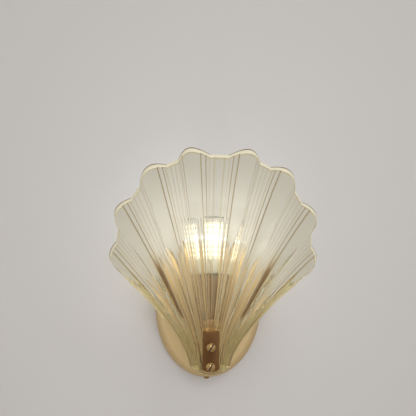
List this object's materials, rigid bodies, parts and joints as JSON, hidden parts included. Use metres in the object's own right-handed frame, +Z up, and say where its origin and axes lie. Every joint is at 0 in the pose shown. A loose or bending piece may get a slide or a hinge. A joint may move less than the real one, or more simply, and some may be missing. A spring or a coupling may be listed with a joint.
{
  "type": "wall sconce",
  "caption": "Wall sconce with a fluted scallop-shell shade of tinted clear glass, clamped in front of a lampholder on an oval brass backplate.",
  "frame": {"origin": "centre of the oval backplate on the wall plane, midway between the two wall fixing holes", "axes": "+Z up, +Y into the wall, +X to the viewer's right"},
  "size_m": [0.2056, 0.145, 0.242],
  "materials": {
    "brass": "polished, lightly aged",
    "zinc_steel": "zinc plated",
    "champagne_glass": "clear pressed glass with a champagne tint",
    "clear_cover": "clear moulded cover",
    "gasket_rubber": "matt",
    "white_nylon": "moulded",
    "black_plastic": "moulded phenolic",
    "contact_brass": "stamped",
    "nickel_cap": "nickel plated",
    "white_plastic": "moulded",
    "diode_board": "white board",
    "brown_lead": "insulated core",
    "blue_lead": "insulated core",
    "green_lead": "insulated core"
  },
  "bodies": {
    "sconce": {"arm_nut_lower": "zinc_steel", "arm_nut_upper": "zinc_steel", "arm_screw_lower": "brass", "arm_screw_upper": "brass", "backplate": "brass", "block_screw": "zinc_steel", "bracket_arm": "brass", "centre_contact": "contact_brass", "clamp_nut_lower": "brass", "clamp_nut_upper": "brass", "clamp_plate": "brass", "clamp_screw_lower": "brass", "clamp_screw_upper": "brass", "contact_shell": "contact_brass", "earth_screw": "zinc_steel", "earth_tag": "zinc_steel", "front_gasket": "gasket_rubber", "holder_base": "black_plastic", "holder_body": "black_plastic", "holder_sleeve": "brass", "lead_bushing": "white_nylon", "lead_earth": "green_lead", "lead_live": "brown_lead", "lead_neutral": "blue_lead", "nipple_nut": "brass", "pan_screw_bottom": "brass", "pan_screw_top": "brass", "rear_gasket": "gasket_rubber", "screw_sleeve_lower": "white_nylon", "screw_sleeve_upper": "white_nylon", "shell_shade": "champagne_glass", "terminal_block": "white_nylon", "terminal_screw_earth": "zinc_steel", "terminal_screw_live": "zinc_steel", "terminal_screw_neutral": "zinc_steel", "threaded_nipple": "brass", "wall_strap": "zinc_steel"},
    "lamp": {"lamp_cap": "nickel_cap", "lamp_insulator": "black_plastic", "lamp_tip": "nickel_cap", "lamp_collar": "white_plastic", "lamp_column": "diode_board", "lamp_cover": "clear_cover"}
  },
  "joints": [
    {"name": "lamp_unscrew", "type": "slide", "parent": "sconce", "child": "lamp", "axis": [0, 0, 1], "range_m": [0, 0.026]}
  ]
}
